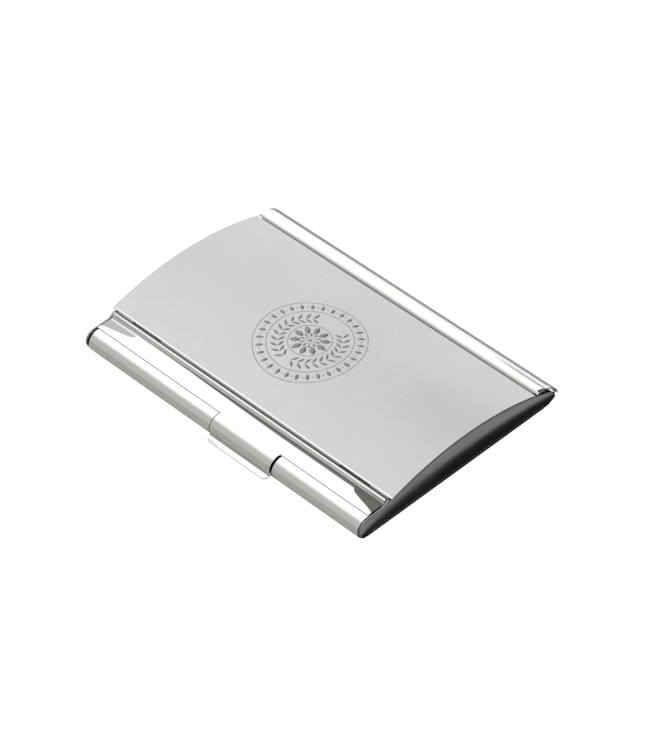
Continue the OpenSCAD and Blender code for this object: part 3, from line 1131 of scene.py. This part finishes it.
@dataclass
class CoverPlate:
    """The arched satin plate with its four clinched tabs."""

    sizes: CaseSizes
    finishes: Finishes
    leg_root: float = 0.6
    fold_bend_r: float = 0.55
    fold_seat: float = 0.62
    fold_turn: float = 1.7

    def build(self) -> list[Piece]:
        """Rolls the plate and bends its tabs, and returns them."""
        s = self.sizes
        low, high = s.cover
        half_a = math.degrees(math.asin((high.y - s.arch_mid.y) / s.arch_r))
        bender = SheetBender(s.on_arch(s.arch_r, low.y), half_a, Side.LEFT)
        bender.bend(s.arch_r, -2.0 * half_a, 64)
        mesh = bender.widen([low.x, 0.0, high.x])
        plate = make_piece(
            "cover_plate_skin", mesh, Finishing(wall=s.cover_sheet, edge=0.2, segments=3, rim=1)
        )
        paint(plate, self.finishes.satin, self.finishes.cut_edge)
        settle(plate, "lid", "satin_steel", ("cover_plate",))
        made = [plate]
        for depth, y, toward in (
            ("front", low.y + s.clinch_inset, 1.0), ("back", high.y - s.clinch_inset, -1.0)
        ):
            for end in End:
                tab = self.clinched_tab(y, toward, end.value * s.clinch_x)
                name = f"clinched_tab_{depth}_{end.name.lower()}"
                piece = make_piece(name, tab, Finishing(wall=s.cover_sheet, edge=0.08))
                paint(piece, self.finishes.satin, self.finishes.cut_edge)
                settle(piece, "lid", "satin_steel")
                made.append(piece)
        return made

    def clinched_tab(self, y: float, toward: float, x: float) -> Mesh:
        """Bends one tab: a leg through its slot and a fold under the lid.

        Args:
            y: outer face of the leg.
            toward: 1 where the fold runs to the back, -1 where it runs to the front.
            x: middle of the tab.

        Returns:
            The tab's surface.
        """
        s = self.sizes
        top = s.on_arch(s.arch_r - s.cover_sheet * self.leg_root, y)
        fold_r = s.arch_r - s.cover_sheet - 2 * s.fit_gap - s.lid_sheet - s.cover_sheet
        bend_r = self.fold_bend_r
        slope = math.degrees(math.asin(abs(y - s.arch_mid.y) / fold_r))
        side = Side.RIGHT if toward > 0 else Side.LEFT
        foot_z = s.on_arch(fold_r, y + toward * bend_r).z
        bender = SheetBender(top, -90.0, side)
        bender.straight(top.z - foot_z - bend_r * self.fold_seat)
        bender.bend(bend_r, toward * (90.0 + slope), 8)
        bender.bend(fold_r, -toward * self.fold_turn, 4)
        return bender.widen([x - s.clinch_w / 2, x + s.clinch_w / 2])


# ---- the etched mark


@dataclass
class EtchedMark:
    """A plain round ornament: two rings, a ring of grains, a leaf wreath and a rosette."""

    sizes: CaseSizes
    finishes: Finishes
    centre: Pair = (-1.65, -0.62)
    outer_r: float = 13.85
    inner_r: float = 10.55
    line: float = 0.17
    proud: float = 0.012
    grains: int = 30
    petals: int = 10
    leaf_pairs: int = 11
    first_pair: float = 14.0
    pair_step: float = 13.2

    def ring(self, mesh: Mesh, radius: float, width: float, steps: int = 128) -> None:
        """Adds a flat ring of a given middle radius and width."""
        made = bmesh.ops.create_circle(mesh, cap_ends=False, radius=radius - width / 2, segments=steps)
        edges = list({e for v in made["verts"] for e in v.link_edges})
        out = bmesh.ops.extrude_edge_only(mesh, edges=edges)["geom"]
        verts = [g for g in out if isinstance(g, bmesh.types.BMVert)]
        grow = (radius + width / 2) / (radius - width / 2)
        bmesh.ops.scale(mesh, vec=(grow, grow, 1.0), verts=verts)

    def leaf(
        self, mesh: Mesh, radius: float, angle: float, size: Pair,
        lean: float, steps: int = 12,
    ) -> None:
        """Adds one pointed leaf.

        Args:
            mesh: the mesh that takes it.
            radius: distance of its middle from the mark's middle.
            angle: place of its middle round the mark, in degrees.
            size: half length and half width.
            lean: angle between the leaf and the ray it sits on, in degrees.
            steps: how many corners its outline has.
        """
        made = bmesh.ops.create_circle(mesh, cap_ends=True, cap_tris=True, radius=1.0, segments=steps)
        verts = made["verts"]
        for vert in verts:
            vert.co.y *= 1.0 - 0.45 * abs(vert.co.x)
        place = (
            Matrix.Rotation(math.radians(angle), 4, "Z")
            @ Matrix.Translation((radius, 0.0, 0.0))
            @ Matrix.Rotation(math.radians(lean), 4, "Z")
            @ Matrix.Diagonal((size[0], size[1], 1.0, 1.0))
        )
        bmesh.ops.transform(mesh, matrix=place, verts=verts)

    def wreath(self, mesh: Mesh) -> None:
        """Adds the wreath: two sprays of paired leaves with a stem, open at the top."""
        for side in (1.0, -1.0):
            for i in range(self.leaf_pairs):
                angle = -90.0 + side * (self.first_pair + self.pair_step * i)
                for lean, radius in ((52.0, 8.75), (-48.0, 7.0)):
                    self.leaf(mesh, radius, angle, (1.05, 0.36), 90.0 * side - lean * side)

    def rosette(self, mesh: Mesh) -> None:
        """Adds the rosette: two rounds of petals about a ring and a dot."""
        step = 360.0 / self.petals
        for i in range(self.petals):
            self.leaf(mesh, 3.65, step * i, (1.35, 0.78), 0.0, 16)
            self.leaf(mesh, 2.0, step * i + step / 2, (0.7, 0.32), 0.0)
        self.ring(mesh, 5.35, self.line, 72)
        self.ring(mesh, 1.05, 0.14, 32)
        self.leaf(mesh, 0.0, 0.0, (0.5, 0.5), 0.0, 16)

    def build(self) -> Piece:
        """Lays the ornament on the arch, and returns it."""
        s = self.sizes
        mesh = bmesh.new()
        self.ring(mesh, self.outer_r, self.line, 160)
        self.ring(mesh, self.inner_r, self.line, 128)
        middle = (self.outer_r + self.inner_r) / 2
        step = 360.0 / self.grains
        for i in range(self.grains):
            self.leaf(mesh, middle, step * i, (0.95, 0.5), 0.0)
            self.leaf(mesh, middle, step * i + step / 2, (0.2, 0.2), 0.0, 8)
        self.wreath(mesh)
        self.rosette(mesh)
        bmesh.ops.translate(mesh, verts=mesh.verts[:], vec=(*self.centre, 0.0))
        for vert in mesh.verts:
            vert.co.z = s.on_arch(s.arch_r + self.proud, vert.co.y).z
        bmesh.ops.recalc_face_normals(mesh, faces=mesh.faces[:])
        flipped = [f for f in mesh.faces if f.normal.z < 0]
        if flipped:
            bmesh.ops.reverse_faces(mesh, faces=flipped)
        mark = make_piece("etched_mark", mesh, Finishing(wall=self.proud * 1.5, edge=0.0))
        paint(mark, self.finishes.etched)
        settle(mark, "lid", "satin_steel")
        return mark


# ---- the pin


@dataclass
class HingePin:
    """The drawn pin, kept as the frame gives it, with its own finish."""

    finishes: Finishes

    def build(self) -> Piece:
        """Gives the pin its finish, and returns it."""
        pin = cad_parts["hinge_pin"]
        paint(pin, self.finishes.pin)
        log.info("hinge_pin keeps its place")
        return pin


# ---- the studio


@dataclass(frozen=True)
class SoftPatch:
    """A soft-edged patch of the studio's surround, brighter or darker than the rest."""

    toward: Triple
    inner: float
    outer: float
    colour: Triple


@dataclass
class Studio:
    """Pale floor, soft surround, two low cards and the camera."""

    surround: Triple = (1.30, 1.30, 1.29)
    patches: tuple[SoftPatch, ...] = (
        SoftPatch((-0.518, -0.80, 0.25), 14.0, 56.0, (0.56, 0.555, 0.54)),
        SoftPatch((0.30, 0.58, 0.757), 37.0, 42.0, (0.085, 0.095, 0.085)),
        SoftPatch((0.78, 0.56, 0.30), 24.0, 32.0, (0.07, 0.085, 0.10)),
    )
    floor_half: float = 1500.0
    floor_drop: float = 0.02
    floor_colour: Triple = (0.52, 0.51, 0.49)
    floor_rough: float = 0.9
    floor_glow: float = 1.05
    lens: float = 162.2
    eye: Triple = (0.4215, -0.4220, 0.5507)
    aim: Triple = (-0.518, 0.522, -0.678)

    def light(self) -> None:
        """Builds the surround as a world of soft patches."""
        world = bpy.data.worlds.new("soft surround")
        bpy.context.scene.world = world
        world.use_nodes = True
        sheet = ShaderSheet(world.node_tree)
        toward = sheet.node("ShaderNodeTexCoord").outputs["Generated"]
        colour: object = (*self.surround, 1.0)
        for patch in self.patches:
            dot = sheet.node("ShaderNodeVectorMath", operation="DOT_PRODUCT")
            sheet.feed(dot.inputs[0], toward)
            dot.inputs[1].default_value = Vector(patch.toward).normalized()
            inner, outer = (math.cos(math.radians(a)) for a in (patch.inner, patch.outer))
            mask = sheet.remap(dot.outputs["Value"], outer, inner)
            colour = sheet.mix(mask, colour, (*patch.colour, 1.0))
        background = world.node_tree.nodes["Background"]
        sheet.feed(background.inputs["Color"], colour)
        bpy.context.scene.view_settings.view_transform = "Standard"
        bpy.context.scene.view_settings.look = "None"

    def floor(self) -> None:
        """Lays the pale floor, which shows plain white and throws a softer light back."""
        mesh = bmesh.new()
        bmesh.ops.create_grid(mesh, x_segments=1, y_segments=1, size=self.floor_half)
        bmesh.ops.translate(mesh, verts=mesh.verts[:], vec=(0.0, 0.0, -self.floor_drop))
        floor = make_piece("floor", mesh, Finishing(edge=0.0))
        material, sheet = new_material("pale floor")
        shader = material.node_tree.nodes["Principled BSDF"]
        shader.inputs["Base Color"].default_value = (*self.floor_colour, 1.0)
        shader.inputs["Roughness"].default_value = self.floor_rough
        glow = sheet.node("ShaderNodeEmission")
        glow.inputs["Strength"].default_value = self.floor_glow
        seen = sheet.node("ShaderNodeLightPath").outputs["Is Camera Ray"]
        mixed = sheet.node("ShaderNodeMixShader")
        sheet.feed(mixed.inputs[0], seen)
        sheet.feed(mixed.inputs[1], shader.outputs[0])
        sheet.feed(mixed.inputs[2], glow.outputs[0])
        sheet.feed(material.node_tree.nodes["Material Output"].inputs[0], mixed.outputs[0])
        paint(floor, material)

    def card(
        self, name: str, corners: tuple[float, float, float, float], height: float,
        shade: Triple,
    ) -> None:
        """Lays a card beside the case that only reflections see.

        Args:
            name: the card's name.
            corners: its x and y limits.
            height: its height above the floor.
            shade: its brightness.
        """
        x0, x1, y0, y1 = corners
        mesh = bmesh.new()
        bmesh.ops.create_circle(mesh, cap_ends=True, radius=1.0, segments=64)
        bmesh.ops.scale(mesh, vec=((x1 - x0) / 2, (y1 - y0) / 2, 1.0), verts=mesh.verts[:])
        bmesh.ops.translate(mesh, verts=mesh.verts[:], vec=((x0 + x1) / 2, (y0 + y1) / 2, height))
        card = make_piece(name, mesh, Finishing(edge=0.0))
        material, sheet = new_material(name)
        glow = sheet.node("ShaderNodeEmission")
        glow.inputs["Color"].default_value = (*shade, 1.0)
        sheet.feed(material.node_tree.nodes["Material Output"].inputs[0], glow.outputs[0])
        paint(card, material)
        card.visible_camera = False
        card.visible_diffuse = False
        card.visible_shadow = False

    def camera(self) -> None:
        """Sets the camera."""
        data = bpy.data.cameras.new("camera")
        data.sensor_fit = "AUTO"
        data.sensor_width = 36.0
        data.lens = self.lens
        data.clip_start, data.clip_end = 0.01, 20.0
        camera = bpy.data.objects.new("camera", data)
        bpy.context.scene.collection.objects.link(camera)
        camera.location = self.eye
        camera.rotation_mode = "QUATERNION"
        camera.rotation_quaternion = Vector(self.aim).to_track_quat("-Z", "Y")
        bpy.context.scene.camera = camera

    def build(self) -> None:
        """Builds the whole studio."""
        self.camera()
        self.light()
        self.floor()
        self.card("grey_card", (46.0, 76.0, -60.0, 90.0), 0.0, (0.27, 0.27, 0.26))
        # Painted shadow: the dark card stands for the case's own shadow on the floor beside the right end
        # plate, and only reflections see it.
        self.card("painted_shadow_card", (41.0, 50.6, -34.0, 42.0), 0.02, (0.012, 0.012, 0.010))


def main() -> None:
    """Builds the case piece by piece, then the studio."""
    logging.basicConfig(level=logging.INFO, format="%(name)s: %(message)s")
    sizes = CaseSizes()
    finishes = Finishes()
    Tray(sizes, finishes).build()
    for end in End:
        Cheek(sizes, finishes, end).build()
    Lid(sizes, finishes).build()
    CoverPlate(sizes, finishes).build()
    EtchedMark(sizes, finishes).build()
    HingePin(finishes).build()
    Studio().build()


if __name__ == "__main__":
    main()
